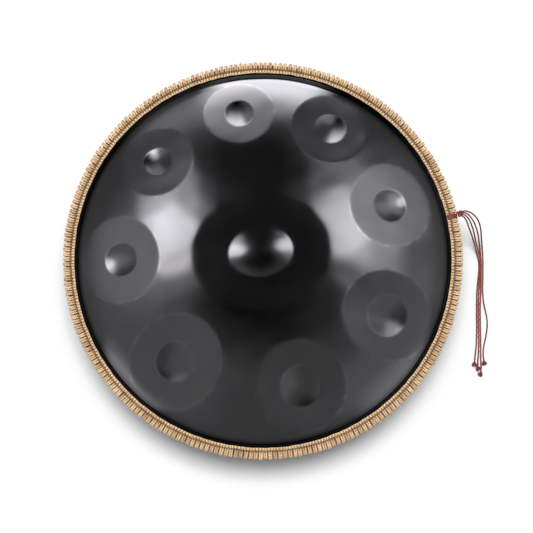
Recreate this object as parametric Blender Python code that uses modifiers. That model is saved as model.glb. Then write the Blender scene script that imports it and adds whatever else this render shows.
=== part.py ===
"""Handpan: two nitrided steel shells bonded at the rim, a jute edge trim and a knotted tie cord.

Metres, +Z up.  The origin is on the pan's axis, in the plane of the ring that the pan rests on.
The tone fields, their dimples and the ding dome are formed in the one sheet of the top shell.
"""
import math

import bpy
import bmesh
import numpy as np
from mathutils import Matrix, Vector

# ---- driving dimensions ---------------------------------------------------------------------
SHEET = 0.0012              # steel thickness
RIM_Z = 0.112               # height of the seam between the two flanges
SEAM_HALF = 0.0006          # from the seam's mid-plane to either flange
BOWL_EDGE_R = 0.2715        # where each bowl turns out into its flange
FLANGE_R = 0.280            # outer radius of both flanges
BOWL_A = 0.2796             # radius of the ellipse that both bowls follow
TOP_B = 0.1582              # its height in the top shell
CORNER_RUN = 0.0012         # the small round between bowl and flange, outwards
CORNER_RISE = 0.0008        # and upwards
GAP = 0.0003                # clearance kept between touching pieces

PORT_R = 0.048              # opening of the neck in the bottom shell
PORT_ROUND = 0.006          # height of the rounded edge between neck and resting ring
NECK_RISE = 0.028           # how far the neck turns up inside
NECK_DRAW = 0.0005          # how much narrower the neck is at its top
REST_INNER_R = 0.054        # the flat ring that the pan rests on
REST_OUTER_R = 0.062

# Tone fields: angle from +X in degrees, radius of the centre, half size along the radius,
# half size across it, half size of the dimple.  All are sizes seen from straight above.
TONE_FIELDS = (
    (99.6, 0.207, 0.048, 0.050, 0.020),
    (62.3, 0.206, 0.053, 0.055, 0.023),
    (138.6, 0.202, 0.050, 0.054, 0.020),
    (20.9, 0.195, 0.057, 0.060, 0.0235),
    (182.3, 0.203, 0.055, 0.061, 0.0235),
    (-26.4, 0.198, 0.065, 0.062, 0.029),
    (-128.9, 0.199, 0.068, 0.063, 0.0278),
    (-74.0, 0.197, 0.063, 0.064, 0.029),
)
FLATTENING = 0.85           # share of the bowl's own curvature that a tone field takes away
DIMPLE_DEPTH = 0.22         # depth of a dimple as a share of its half size
FIELD_EDGE = 0.06           # softness of a tone field's edge
DIMPLE_EDGE = 0.08          # softness of a dimple's edge

DING_CENTRE = (-0.0028, -0.0024)
DING_TURN = math.radians(9.0)
DING_FIELD = (0.097, 0.084)     # half sizes of the flat around the dome
DING_FIELD_DEPTH = 0.0075
DING_DOME = (0.0455, 0.037)     # half sizes of the dome
DING_RISE = 0.0085

ADHESIVE_INSET = 0.001      # how far the adhesive stays inside the flanges' edge
TRIM_R = 0.2815             # centre of the trim's section
TRIM_SLOT = 0.0011          # clearance between the flanges' edge and the wrap
TRIM_OUT = 0.0066           # its half width
TRIM_UP = 0.0078            # its half height
BRAID_R = 0.2756            # centre of each edge braid
BRAID_OUT = 0.0019          # half width of a braid
BRAID_UP = 0.0028           # half height of a braid

CORD_R = 0.0011             # waxed tie cord
LASHING_ANGLE = math.radians(12.8)
LASHING_PITCH = 0.0026
LASHING_END = 84            # degrees round the trim's section where each pass turns inwards
KNOT_ANGLE = math.radians(13.3)
KNOT_DROP = 0.0006          # how far the tie knot's centre hangs below the seam
TIE_KNOT_SIZE = (0.0030, 0.0038, 0.0034)
END_KNOT_R = 0.0036
LIFT = 0.0002               # the least space left under a knot and beside the tie knot

TOP_STEPS = 80
BOTTOM_STEPS = 48
TRIM_STEPS = 60
TOP_RINGS = 19
BOTTOM_RINGS = 8
PORT_ARC = (240, 180, 3)    # first and last angle and number of points
WRAP_ARC = (124, -124, 9)
BRAID_ARC = (180, -180, 7)
LASHING_POINTS = 11
KNOT_SEGMENTS = (12, 8)
SMOOTH_ANGLE = math.radians(40)
SAMPLES_PER_STRETCH = 40    # fine points between two route points, before even spacing

# Each tail runs from the knot at the rim down to the surface that the pan stands on, and
# along it.  Routes are in millimetres.
TAIL_ROUTES = (
    ((290.6, 70.6, 113.4), (297.0, 70.6, 113.6), (305.6, 67.6, 107.5), (314.1, 61.5, 91.5),
     (319.5, 54.5, 68.0), (322.8, 47.5, 42.5), (325.3, 39.5, 19.0), (327.2, 30.0, 5.2),
     (328.2, 18.0, 1.5), (328.4, 0.0, 1.5), (328.0, -18.0, 1.5), (327.6, -36.0, 1.5),
     (329.2, -54.0, 1.5), (332.8, -71.0, 1.5), (334.1, -84.0, 1.5), (332.2, -101.0, 1.5),
     (328.5, -118.0, 1.5), (327.6, -130.0, 1.7), (328.5, -138.8, 3.0)),
    ((291.1, 68.8, 111.4), (296.8, 67.8, 110.2), (303.2, 63.6, 101.0), (309.6, 57.6, 84.0),
     (315.0, 50.6, 61.0), (318.9, 43.8, 39.0), (321.7, 36.0, 18.5), (324.0, 26.0, 5.0),
     (325.4, 14.0, 1.5), (325.6, -2.0, 1.5), (325.2, -20.0, 1.5), (324.6, -40.0, 1.5),
     (323.8, -58.0, 1.5), (323.7, -80.0, 1.5), (324.0, -110.0, 1.5), (323.8, -129.0, 1.5),
     (324.1, -143.0, 1.5), (324.4, -150.0, 1.7), (323.6, -155.3, 3.0)),
    ((290.6, 66.9, 109.2), (295.6, 65.0, 107.0), (301.4, 60.4, 96.4), (306.3, 54.4, 79.0),
     (310.9, 47.6, 57.5), (314.3, 40.6, 36.5), (317.9, 32.4, 18.2), (321.7, 22.4, 9.2),
     (324.2, 10.6, 3.9), (324.4, -4.0, 3.8), (323.1, -18.0, 3.4), (322.0, -34.0, 1.6),
     (321.1, -58.0, 1.5), (321.0, -84.0, 1.5), (321.2, -110.0, 1.5), (320.4, -130.0, 1.5),
     (319.6, -139.0, 1.7), (319.6, -147.0, 3.0)),
    ((289.8, 65.0, 107.2), (293.8, 62.6, 104.0), (298.4, 57.6, 92.0), (302.7, 51.4, 73.0),
     (307.8, 44.4, 52.0), (312.2, 37.0, 32.0), (316.1, 29.0, 15.6), (319.6, 19.6, 5.0),
     (322.2, 8.0, 1.5), (322.2, -6.0, 1.5), (320.2, -24.0, 1.5), (318.8, -44.0, 1.5),
     (318.4, -68.0, 1.5), (318.3, -94.0, 1.5), (317.4, -116.0, 1.5), (315.8, -130.0, 1.7),
     (314.7, -140.6, 3.0)),
)
# The knot at each tail's end lies this far beyond it, in the direction that the tail points.
END_KNOT_REACH = END_KNOT_R + GAP
POINT_SPACING = 0.0060      # along a tail
LASHING_SPACING = 0.0026    # along the lashing


# ---- scene helpers --------------------------------------------------------------------------
def clear_scene():
    for item in list(bpy.data.objects):
        bpy.data.objects.remove(item, do_unlink=True)


def new_collection(name):
    group = bpy.data.collections.new(name)
    bpy.context.scene.collection.children.link(group)
    return group


def principled(name, colour, roughness, metallic):
    """Make a material with one Principled shader."""
    material = bpy.data.materials.new(name)
    material.use_nodes = True
    shader = material.node_tree.nodes["Principled BSDF"]
    shader.inputs["Base Color"].default_value = (*colour, 1.0)
    shader.inputs["Roughness"].default_value = roughness
    shader.inputs["Metallic"].default_value = metallic
    material.diffuse_color = (*colour, 1.0)
    return material


def add_object(name, data, material, group):
    """Put a mesh or curve in the collection, as one named part with its material."""
    piece = bpy.data.objects.new(name, data)
    group.objects.link(piece)
    data.materials.clear()
    data.materials.append(material)
    return piece


# ---- turned shapes --------------------------------------------------------------------------
def turned_mesh(name, profile, steps, closed):
    """Turn a profile of (radius, height) points about Z and return the mesh.

    The profile's outer side runs from its top to its bottom.
    """
    outline = bpy.data.meshes.new(name + "_profile")
    points = [(radius, 0.0, height) for radius, height in profile]
    edges = [(i, i + 1) for i in range(len(points) - 1)]
    if closed:
        edges.append((len(points) - 1, 0))
    outline.from_pydata(points, edges, [])
    carrier = bpy.data.objects.new(name + "_carrier", outline)
    bpy.context.scene.collection.objects.link(carrier)
    screw = carrier.modifiers.new("Turn", "SCREW")
    screw.axis = "Z"
    screw.steps = steps
    screw.render_steps = steps
    screw.use_merge_vertices = True
    screw.merge_threshold = 0.0001
    depsgraph = bpy.context.evaluated_depsgraph_get()
    mesh = bpy.data.meshes.new_from_object(carrier.evaluated_get(depsgraph))
    bpy.data.objects.remove(carrier)
    mesh.name = name
    mesh.shade_smooth()
    mesh.set_sharp_from_angle(angle=SMOOTH_ANGLE)
    return mesh


def ellipse_arc(centre, half_sizes, start, end, count):
    """Points of (radius, height) along an elliptical arc, angles in degrees."""
    arc = []
    for i in range(count):
        angle = math.radians(start + (end - start) * i / (count - 1))
        radius = centre[0] + half_sizes[0] * math.cos(angle)
        height = centre[1] + half_sizes[1] * math.sin(angle)
        arc.append((radius, height))
    return arc


# ---- shells ---------------------------------------------------------------------------------
def soft_step(value, softness):
    """Zero below nought and equal to the value above it, with a rounded corner between."""
    return softness * np.logaddexp(0.0, value / softness)


def bowl_q(radius):
    return np.sqrt(1.0 - (radius / BOWL_A) ** 2)


def inside_ellipse(x, y, centre, turn, half_sizes):
    """One at the ellipse's centre, nought on its outline and negative outside."""
    along = (x - centre[0]) * math.cos(turn) + (y - centre[1]) * math.sin(turn)
    across = -(x - centre[0]) * math.sin(turn) + (y - centre[1]) * math.cos(turn)
    return 1.0 - (along / half_sizes[0]) ** 2 - (across / half_sizes[1]) ** 2


def tone_field_drop(x, y, field):
    """How far one tone field and its dimple lower the bowl at the point x, y."""
    degrees, centre_r, half_along, half_across, half_dimple = field
    turn = math.radians(degrees)
    centre = (centre_r * math.cos(turn), centre_r * math.sin(turn))
    q = float(bowl_q(centre_r))
    bulge_along = half_along ** 2 * TOP_B / (2 * BOWL_A ** 2 * q ** 3)
    bulge_across = half_across ** 2 * TOP_B / (2 * BOWL_A ** 2 * q)
    depth = FLATTENING * (bulge_along + bulge_across) / 2
    flat = inside_ellipse(x, y, centre, turn, (half_along, half_across))
    dimple = inside_ellipse(x, y, centre, turn, (half_dimple, half_dimple))
    return (depth * soft_step(flat, FIELD_EDGE)
            + DIMPLE_DEPTH * half_dimple * soft_step(dimple, DIMPLE_EDGE))


def forming(x, y):
    """Height that hammering adds to the turned top bowl at each point x, y."""
    lift = np.zeros_like(x)
    for field in TONE_FIELDS:
        lift = lift - tone_field_drop(x, y, field)
    flat = inside_ellipse(x, y, DING_CENTRE, DING_TURN, DING_FIELD)
    dome = inside_ellipse(x, y, DING_CENTRE, DING_TURN, DING_DOME)
    lift = lift - DING_FIELD_DEPTH * soft_step(flat, FIELD_EDGE)
    return lift + DING_RISE * soft_step(dome, DIMPLE_EDGE)


def bowl_profile(rings, inner_r, edge_height, rise):
    """The bowl from its innermost ring to the flange, as heights above the flange's face."""
    edge_q = float(bowl_q(BOWL_EDGE_R))
    points = []
    for i in range(rings + 1):
        radius = inner_r + (BOWL_EDGE_R - inner_r) * i / rings
        points.append((radius, edge_height + rise * (float(bowl_q(radius)) - edge_q)))
    return points


def thicken(piece):
    solidify = piece.modifiers.new("Sheet", "SOLIDIFY")
    solidify.thickness = SHEET
    solidify.offset = -1.0
    solidify.use_even_offset = True


def make_top_shell(material, group):
    """The playing shell: a turned bowl with its flange, formed by hammering."""
    face = RIM_Z + SEAM_HALF + SHEET
    profile = bowl_profile(TOP_RINGS, 0.0, face + CORNER_RISE, TOP_B)
    profile += [(BOWL_EDGE_R + CORNER_RUN, face), (FLANGE_R, face)]
    mesh = turned_mesh("top_shell", profile, TOP_STEPS, closed=False)
    places = np.empty(len(mesh.vertices) * 3)
    mesh.vertices.foreach_get("co", places)
    places = places.reshape(-1, 3)
    places[:, 2] += forming(places[:, 0], places[:, 1])
    mesh.vertices.foreach_set("co", places.ravel())
    mesh.update()
    thicken(add_object("top_shell", mesh, material, group))


def make_bottom_shell(material, group):
    """The lower shell: flange, bowl, the flat ring it rests on and the neck around its port."""
    face = RIM_Z - SEAM_HALF - SHEET
    span = float(bowl_q(REST_OUTER_R)) - float(bowl_q(BOWL_EDGE_R))
    drop = face - CORNER_RISE
    bowl = bowl_profile(BOTTOM_RINGS, REST_OUTER_R, 0.0, drop / span)
    profile = [(FLANGE_R, face), (BOWL_EDGE_R + CORNER_RUN, face)]
    profile += [(radius, drop - height) for radius, height in reversed(bowl)]
    profile += [(REST_INNER_R, 0.0)]
    rounding = (REST_INNER_R - PORT_R, PORT_ROUND)
    profile += ellipse_arc((REST_INNER_R, PORT_ROUND), rounding, *PORT_ARC)
    profile += [(PORT_R - NECK_DRAW, NECK_RISE)]
    mesh = turned_mesh("bottom_shell", profile, BOTTOM_STEPS, closed=False)
    thicken(add_object("bottom_shell", mesh, material, group))


# ---- rim ------------------------------------------------------------------------------------
def make_rim_adhesive(material, group):
    """The thin ring of adhesive that bonds the two flanges."""
    half = SEAM_HALF - GAP
    outer_r = FLANGE_R - ADHESIVE_INSET
    inner_r = BOWL_EDGE_R + 2 * ADHESIVE_INSET
    profile = [(outer_r, RIM_Z + half), (outer_r, RIM_Z - half),
               (inner_r, RIM_Z - half), (inner_r, RIM_Z + half)]
    mesh = turned_mesh("rim_adhesive", profile, BOTTOM_STEPS, closed=True)
    add_object("rim_adhesive", mesh, material, group)


def make_rim_wrap(material, group):
    """The stitched wrap: a C section that grips both flanges from outside."""
    flange_half = SEAM_HALF + SHEET + GAP
    outer = ellipse_arc((TRIM_R, RIM_Z), (TRIM_OUT, TRIM_UP), *WRAP_ARC)
    inner_r = outer[0][0]
    slot_r = FLANGE_R + TRIM_SLOT
    slot = [(inner_r, RIM_Z - flange_half), (slot_r, RIM_Z - flange_half),
            (slot_r, RIM_Z + flange_half), (inner_r, RIM_Z + flange_half)]
    mesh = turned_mesh("rim_wrap", outer + slot, TRIM_STEPS, closed=True)
    add_object("rim_wrap", mesh, material, group)


def make_edge_braid(name, side, material, group):
    """The braid that finishes the wrap against the bowl: side +1 above the rim, -1 below."""
    flange_face = SEAM_HALF + SHEET + GAP
    centre = (BRAID_R, RIM_Z + side * (flange_face + BRAID_UP))
    ring = ellipse_arc(centre, (BRAID_OUT, BRAID_UP), *BRAID_ARC)[:-1]
    mesh = turned_mesh(name, ring, TRIM_STEPS, closed=True)
    add_object(name, mesh, material, group)


# ---- tie cord -------------------------------------------------------------------------------
def smooth_route(route, spacing):
    """Points at an even spacing on a smooth curve through the route's own points."""
    knots = [Vector(point) for point in route]
    knots = [2 * knots[0] - knots[1]] + knots + [2 * knots[-1] - knots[-2]]
    dense = []
    for i in range(1, len(knots) - 2):
        p0, p1, p2, p3 = knots[i - 1:i + 3]
        for k in range(SAMPLES_PER_STRETCH):
            t = k / SAMPLES_PER_STRETCH
            dense.append(0.5 * (2 * p1 + (p2 - p0) * t
                                + (2 * p0 - 5 * p1 + 4 * p2 - p3) * t ** 2
                                + (3 * p1 - p0 - 3 * p2 + p3) * t ** 3))
    dense.append(knots[-2])
    travelled = [0.0]
    for before, after in zip(dense, dense[1:]):
        travelled.append(travelled[-1] + (after - before).length)
    count = max(2, round(travelled[-1] / spacing))
    wanted = np.linspace(0.0, travelled[-1], count + 1)
    columns = [np.interp(wanted, travelled, [p[axis] for p in dense]) for axis in range(3)]
    return [Vector(point) for point in zip(*columns)]


def make_cord(name, points, material, group):
    """A round cord through the given points, with closed ends."""
    curve = bpy.data.curves.new(name, "CURVE")
    curve.dimensions = "3D"
    curve.bevel_depth = CORD_R
    curve.bevel_resolution = 2
    curve.use_fill_caps = True
    spline = curve.splines.new("POLY")
    spline.points.add(len(points) - 1)
    for target, point in zip(spline.points, points):
        target.co = (*point, 1.0)
    return add_object(name, curve, material, group)


def make_knot(name, centre, half_sizes, turn, material, group):
    """A knot as a small rounded solid."""
    mesh = bpy.data.meshes.new(name)
    shape = bmesh.new()
    bmesh.ops.create_uvsphere(shape, u_segments=KNOT_SEGMENTS[0],
                              v_segments=KNOT_SEGMENTS[1], radius=1.0)
    placement = (Matrix.Translation(centre) @ Matrix.Rotation(turn, 4, "Z")
                 @ Matrix.Diagonal((*half_sizes, 1.0)))
    bmesh.ops.transform(shape, matrix=placement, verts=shape.verts)
    shape.to_mesh(mesh)
    shape.free()
    mesh.shade_smooth()
    return add_object(name, mesh, material, group)


def lashing_section():
    """One pass of the lashing across the trim: (radius, height) from inside top to bottom."""
    clear = GAP + CORD_R
    half_sizes = (TRIM_OUT + clear, TRIM_UP + clear)
    over = ellipse_arc((TRIM_R, 0.0), half_sizes, LASHING_END, -LASHING_END, LASHING_POINTS)
    braid_top = SEAM_HALF + SHEET + GAP + 2 * BRAID_UP + clear
    inner = [(BRAID_R - BRAID_OUT / 3, braid_top), (BRAID_R + BRAID_OUT * 2 / 3, braid_top)]
    mirrored = [(radius, -height) for radius, height in reversed(inner)]
    return inner + over + mirrored


def make_tie_lashing(material, group):
    """Three passes of the tie cord across the trim, joined where they turn back."""
    section = lashing_section()
    route = []
    for turn in (-1, 0, 1):
        passes = section if turn != 0 else list(reversed(section))
        for radius, height in passes:
            route.append(Vector((radius, turn * LASHING_PITCH, RIM_Z + height)))
    spin = Matrix.Rotation(LASHING_ANGLE, 4, "Z")
    route = [spin @ point for point in route]
    make_cord("tie_lashing", smooth_route(route, LASHING_SPACING), material, group)


def make_tie(material, group):
    """The lashing, the knot outside it, and four tails that each end in a knot."""
    make_tie_lashing(material, group)
    reach = TRIM_R + TRIM_OUT + 2 * CORD_R + 2 * GAP + TIE_KNOT_SIZE[0] + LIFT
    seat = Vector((reach, 0.0, RIM_Z - KNOT_DROP))
    place = Matrix.Rotation(KNOT_ANGLE, 4, "Z") @ seat
    make_knot("tie_knot", place, TIE_KNOT_SIZE, KNOT_ANGLE, material, group)
    for number, route in enumerate(TAIL_ROUTES, start=1):
        points = smooth_route([Vector(point) / 1000 for point in route], POINT_SPACING)
        make_cord(f"tie_strand_{number}", points, material, group)
        heading = (points[-1] - points[-2]).normalized()
        centre = points[-1] + heading * END_KNOT_REACH
        centre.z = END_KNOT_R + LIFT
        sizes = (END_KNOT_R, END_KNOT_R, END_KNOT_R)
        make_knot(f"end_knot_{number}", centre, sizes, 0.0, material, group)


def main():
    clear_scene()
    group = new_collection("handpan")
    top_steel = principled("top_steel", (0.16, 0.16, 0.17), 0.30, 1.0)
    bottom_steel = principled("bottom_steel", (0.14, 0.14, 0.15), 0.34, 1.0)
    adhesive = principled("adhesive", (0.03, 0.03, 0.03), 0.6, 0.0)
    jute_wrap = principled("jute_wrap", (0.60, 0.42, 0.26), 0.9, 0.0)
    jute_braid = principled("jute_braid", (0.62, 0.45, 0.29), 0.9, 0.0)
    waxed_cord = principled("waxed_cord", (0.20, 0.055, 0.05), 0.5, 0.0)
    make_top_shell(top_steel, group)
    make_bottom_shell(bottom_steel, group)
    make_rim_adhesive(adhesive, group)
    make_rim_wrap(jute_wrap, group)
    make_edge_braid("top_edge_braid", 1, jute_braid, group)
    make_edge_braid("bottom_edge_braid", -1, jute_braid, group)
    make_tie(waxed_cord, group)


main()
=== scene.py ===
"""Handpan: the finished look of the pan, its stitched jute trim and its knotted tie cord.

Metres, +Z up, in the CAD model's own frame.  The pan lies on its lower bowl and the camera looks
down on it, leaning a little towards -Y.
"""
import math

import bpy
import numpy as np
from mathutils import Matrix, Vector


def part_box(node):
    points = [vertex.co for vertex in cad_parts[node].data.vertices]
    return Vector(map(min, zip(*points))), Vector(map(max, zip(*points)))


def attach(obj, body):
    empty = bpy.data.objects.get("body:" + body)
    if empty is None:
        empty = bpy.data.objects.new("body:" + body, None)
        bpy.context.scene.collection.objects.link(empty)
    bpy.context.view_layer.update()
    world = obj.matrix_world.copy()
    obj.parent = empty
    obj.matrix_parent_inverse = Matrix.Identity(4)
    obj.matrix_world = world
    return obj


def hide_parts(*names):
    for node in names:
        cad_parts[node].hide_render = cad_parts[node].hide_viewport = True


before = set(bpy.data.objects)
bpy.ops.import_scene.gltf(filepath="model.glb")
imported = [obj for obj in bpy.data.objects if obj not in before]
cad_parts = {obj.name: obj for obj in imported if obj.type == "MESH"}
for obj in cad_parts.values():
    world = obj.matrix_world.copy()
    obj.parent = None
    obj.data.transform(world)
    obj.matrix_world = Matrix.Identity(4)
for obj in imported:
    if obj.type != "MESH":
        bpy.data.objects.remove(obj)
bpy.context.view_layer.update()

# ---- sizes read from the frame --------------------------------------------------------------
WRAP_LOW, WRAP_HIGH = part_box("rim_wrap")
BRAID_LOW, BRAID_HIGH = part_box("top_edge_braid")
RIM_Z = (WRAP_LOW.z + WRAP_HIGH.z) / 2      # height of the seam between the two flanges
TRIM_OUTER_R = WRAP_HIGH.x                  # outside of the rim wrap
FLANGE_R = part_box("top_shell")[1].x         # outer radius of both flanges

# ---- the shells, nearly all as the CAD model has them ---------------------------------------
SHEET = 0.0012              # steel thickness
SEAM_HALF = 0.0006          # from the seam's mid-plane to either flange
BOWL_EDGE_R = 0.2715        # where each bowl turns out into its flange
BOWL_A = 0.2796             # radius of the ellipse that both bowls follow
TOP_B = 0.1582              # its height in the top shell
CORNER_RUN = 0.0012         # the small round between bowl and flange, outwards
CORNER_RISE = 0.0008        # and upwards
PORT_R = 0.048              # opening of the neck in the bottom shell
PORT_ROUND = 0.006          # height of the rounded edge between neck and resting ring
NECK_RISE = 0.028           # how far the neck turns up inside
NECK_DRAW = 0.0005          # how much narrower the neck is at its top
REST_INNER_R = 0.054        # the flat ring that the pan rests on
REST_OUTER_R = 0.062

# Tone fields: angle from +X in degrees, radius of the centre, half size along the radius,
# half size across it, half size of the dimple.
TONE_FIELDS = (
    (99.6, 0.207, 0.048, 0.050, 0.020),
    (62.3, 0.206, 0.053, 0.055, 0.023),
    (138.6, 0.202, 0.050, 0.054, 0.020),
    (20.9, 0.195, 0.057, 0.060, 0.0235),
    (182.3, 0.203, 0.055, 0.061, 0.0235),
    (-26.4, 0.198, 0.065, 0.062, 0.029),
    (-128.9, 0.199, 0.068, 0.063, 0.0278),
    (-74.0, 0.197, 0.063, 0.064, 0.029),
)
FLATTENING = 0.85           # share of the bowl's own curvature that a tone field takes away
DIMPLE_DEPTH = 0.22         # depth of a dimple as a share of its half size
FIELD_EDGE = 0.05           # softness of a tone field's edge, a little crisper than in the CAD
DIMPLE_EDGE = 0.07          # softness of a dimple's edge, the same
DING_CENTRE = (-0.0028, -0.0024)
DING_TURN = math.radians(9.0)
DING_FIELD = (0.097, 0.084)     # half sizes of the flat around the dome
DING_FIELD_DEPTH = 0.0075
DING_DOME = (0.0455, 0.037)     # half sizes of the dome
DING_RISE = 0.0085

HAMMER_MARKS = 26           # waves that make up the hammering
HAMMER_SHARE = 0.0006       # height of each as a share of its length
HAMMER_FADE = 0.02          # width at the bowl's edge over which they fade out

# Where the top bowl's roughness changes and where painted shade darkens it: from one radius to
# another.
FOOT = (0.2540, 0.2600)     # smoother steel outside, where hands don't reach
TRIM_SHADE_BAND = (0.2600, 0.2705)   # painted shade outside, close to the trim, where its dark reflection and shadow fall
EDGE_SHADE_BAND = (0.2712, 0.2722)   # painted near-black shade outside, at the trim's edge and under it

# ---- the trim -------------------------------------------------------------------------------
TRIM_R = 0.2815             # centre of the trim's section
TRIM_CORE = (0.0050, 0.0055)    # half sizes of the core under the stitches, painted dark as shade
STITCHES = 250
STRAND_R = 0.00144          # each stitch has two of these strands,
STRAND_APART = 0.00160      # each this far from the stitch's middle
STITCH_STAND = 0.0028       # how far the stitches stand out past the CAD ring,
STITCH_RISE = 0.0007        # and above it
STITCH_DIVE = 0.0016        # how far their ends dive under the plaits
BRAID_R = BRAID_HIGH.x - 0.0015
BRAID_CORE = (0.0016, 0.0022)
BRAID_STRAND_R = 0.0012
BRAID_SWAY = 0.0013         # how far a strand of the plait swings to each side,
BRAID_LIFT = 0.0009         # and up and down
PLAIT_TURNS = 400
JUTE_PLIES = 2.0
JUTE_WIND = 2.1             # how fast the plies wind, in radians per millimetre

# ---- the tie cord ---------------------------------------------------------------------------
CORD_R = 0.0011             # waxed tie cord
CORD_PLIES = 3
CORD_LAY = 0.008            # length in which the grooves move on by one ply
CORD_WIND = 2.4             # how fast the fibres' colour winds, in radians per millimetre
PLY_DEPTH = 0.09            # the plies' grooves as a share of the radius,
KNOT_PLY_DEPTH = 0.10       # and in the knots, where the cord is squeezed
LASHING_ANGLE = math.radians(12.8)
LASHING_STEP = 0.002236     # from one turn of the lashing to the next
KNOT_ANGLE = math.radians(13.3)
TIE_KNOT_SCALE = 0.00135    # a knot's line is about five times this across
END_KNOT_SCALE = 0.00104

# Each tail's route in millimetres, from the knot at the rim down to the floor and along it.
TAIL_ROUTES = (
    ((290.6, 70.6, 113.4), (297.0, 70.6, 113.6), (305.6, 67.6, 107.5), (314.1, 61.5, 91.5),
     (319.5, 54.5, 68.0), (322.8, 47.5, 42.5), (325.3, 39.5, 19.0), (327.2, 30.0, 5.2),
     (328.2, 18.0, 1.5), (328.4, 0.0, 1.5), (328.0, -18.0, 1.5), (327.6, -36.0, 1.5),
     (329.2, -54.0, 1.5), (332.8, -71.0, 1.5), (334.1, -84.0, 1.5), (332.2, -101.0, 1.5),
     (328.5, -118.0, 1.5), (327.6, -130.0, 1.7), (328.5, -138.8, 3.0)),
    ((291.1, 68.8, 111.4), (296.8, 67.8, 110.2), (303.2, 63.6, 101.0), (309.6, 57.6, 84.0),
     (315.0, 50.6, 61.0), (318.9, 43.8, 39.0), (321.7, 36.0, 18.5), (324.0, 26.0, 5.0),
     (325.4, 14.0, 1.5), (325.6, -2.0, 1.5), (325.2, -20.0, 1.5), (324.6, -40.0, 1.5),
     (323.8, -58.0, 1.5), (323.7, -80.0, 1.5), (324.0, -110.0, 1.5), (323.8, -129.0, 1.5),
     (324.1, -143.0, 1.5), (324.4, -150.0, 1.7), (323.6, -155.3, 3.0)),
    ((290.6, 66.9, 109.2), (295.6, 65.0, 107.0), (301.4, 60.4, 96.4), (306.3, 54.4, 79.0),
     (310.9, 47.6, 57.5), (314.3, 40.6, 36.5), (317.9, 32.4, 18.2), (321.7, 22.4, 9.2),
     (324.2, 10.6, 3.9), (324.4, -4.0, 3.8), (323.1, -18.0, 3.4), (322.0, -34.0, 1.6),
     (321.1, -58.0, 1.5), (321.0, -84.0, 1.5), (321.2, -110.0, 1.5), (320.4, -130.0, 1.5),
     (319.6, -139.0, 1.7), (319.6, -147.0, 3.0)),
    ((289.8, 65.0, 107.2), (293.8, 62.6, 104.0), (298.4, 57.6, 92.0), (302.7, 51.4, 73.0),
     (307.8, 44.4, 52.0), (312.2, 37.0, 32.0), (316.1, 29.0, 15.6), (319.6, 19.6, 5.0),
     (322.2, 8.0, 1.5), (322.2, -6.0, 1.5), (320.2, -24.0, 1.5), (318.8, -44.0, 1.5),
     (318.4, -68.0, 1.5), (318.3, -94.0, 1.5), (317.4, -116.0, 1.5), (315.8, -130.0, 1.7),
     (314.7, -140.6, 3.0)),
)

# ---- colours and lamps ----------------------------------------------------------------------
TOP_STEEL = (0.33, 0.33, 0.335)
LOWER_STEEL = (0.31, 0.31, 0.32)
# Painted shade on the steel near the trim, then near black at the trim's edge.
TRIM_SHADE_COLOUR = (0.02, 0.019, 0.018)
EDGE_SHADE_COLOUR = (0.004, 0.004, 0.004)
STITCH_JUTE = ((0.65, 0.455, 0.262), (0.23, 0.115, 0.042))      # light and dark fibres
PLAIT_JUTE = ((0.66, 0.47, 0.275), (0.24, 0.125, 0.050))
# Painted shade in the cord's ply grooves; then the ply faces and the wax.
CORD_GROOVE_SHADE = (0.050, 0.011, 0.010)
CORD_FACE = (0.155, 0.038, 0.031)
CORD_WAX = (0.215, 0.070, 0.058)
PAPER = ((0.475, 0.475, 0.475), (0.485, 0.485, 0.485))
# Each lamp: name, strength, how wide it looks, how far it leans from straight up, and its bearing
# from +Y towards +X, in degrees.
LAMPS = (
    ("key", 4.4, 20, 7.2, 0),
    ("side_left", 0.65, 24, 24, -40),
    ("side_right", 0.65, 24, 24, 40),
)

# ---- the studio that the steel shows --------------------------------------------------------
# Softboxes: centre and half sizes in degrees on a flat map of the sky, on which the distance from
# the centre is the angle from straight up; then the edge's softness and the strength.
SOFTBOXES = (
    ((-36, 12), (15, 12), 0.30, 1.9),
    ((-40, 29), (12, 13), 0.5, 1.1),
    ((-56, 8), (24, 20), 0.6, 0.16),
    ((31, 18), (11.5, 13.5), 0.32, 1.65),
    ((46, 11), (14, 20), 0.5, 0.55),
    ((32, 44), (13, 10), 0.5, 0.32),
    ((64, 34), (24, 14), 0.6, 0.24),
)
# Low patches near the horizon: first and last bearing from +Y towards +X, the softness of each
# side, the angles from straight up between which it grows in, and the strength.
LOW_PATCHES = (
    (-133, -119, 12, 8, 84, 108, 0.36),
    (118, 134, 12, 16, 78, 104, 0.24),
)
SKY_FLOOR = 0.002           # strength where nothing else is
SKY_TINT = (0.98, 0.98, 1.03, 1.0)
WHITE = (1.0, 1.0, 1.0, 1.0)


# ---- node helpers ---------------------------------------------------------------------------
def new_material(name):
    material = bpy.data.materials.new(name)
    material.use_nodes = True
    tree = material.node_tree
    return material, tree, tree.nodes["Principled BSDF"]


def add_node(tree, kind, **settings):
    node = tree.nodes.new(kind)
    for key, value in settings.items():
        setattr(node, key, value)
    return node


def put(tree, socket, value):
    """Link a socket, or set a constant, on another node's input."""
    if isinstance(value, bpy.types.NodeSocket):
        tree.links.new(value, socket)
    else:
        socket.default_value = value


def maths(tree, operation, a, b=None, clamp=False):
    node = add_node(tree, "ShaderNodeMath", operation=operation, use_clamp=clamp)
    for socket, value in zip(node.inputs, (a, b)):
        if value is not None:
            put(tree, socket, value)
    return node.outputs[0]


def ramp_value(tree, value, low, high, to_low=0.0, to_high=1.0):
    """Map a value smoothly from low..high to to_low..to_high."""
    node = add_node(tree, "ShaderNodeMapRange", interpolation_type="SMOOTHSTEP")
    for name, item in (("Value", value), ("From Min", low), ("From Max", high),
                       ("To Min", to_low), ("To Max", to_high)):
        put(tree, node.inputs[name], item)
    return node.outputs["Result"]


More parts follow.
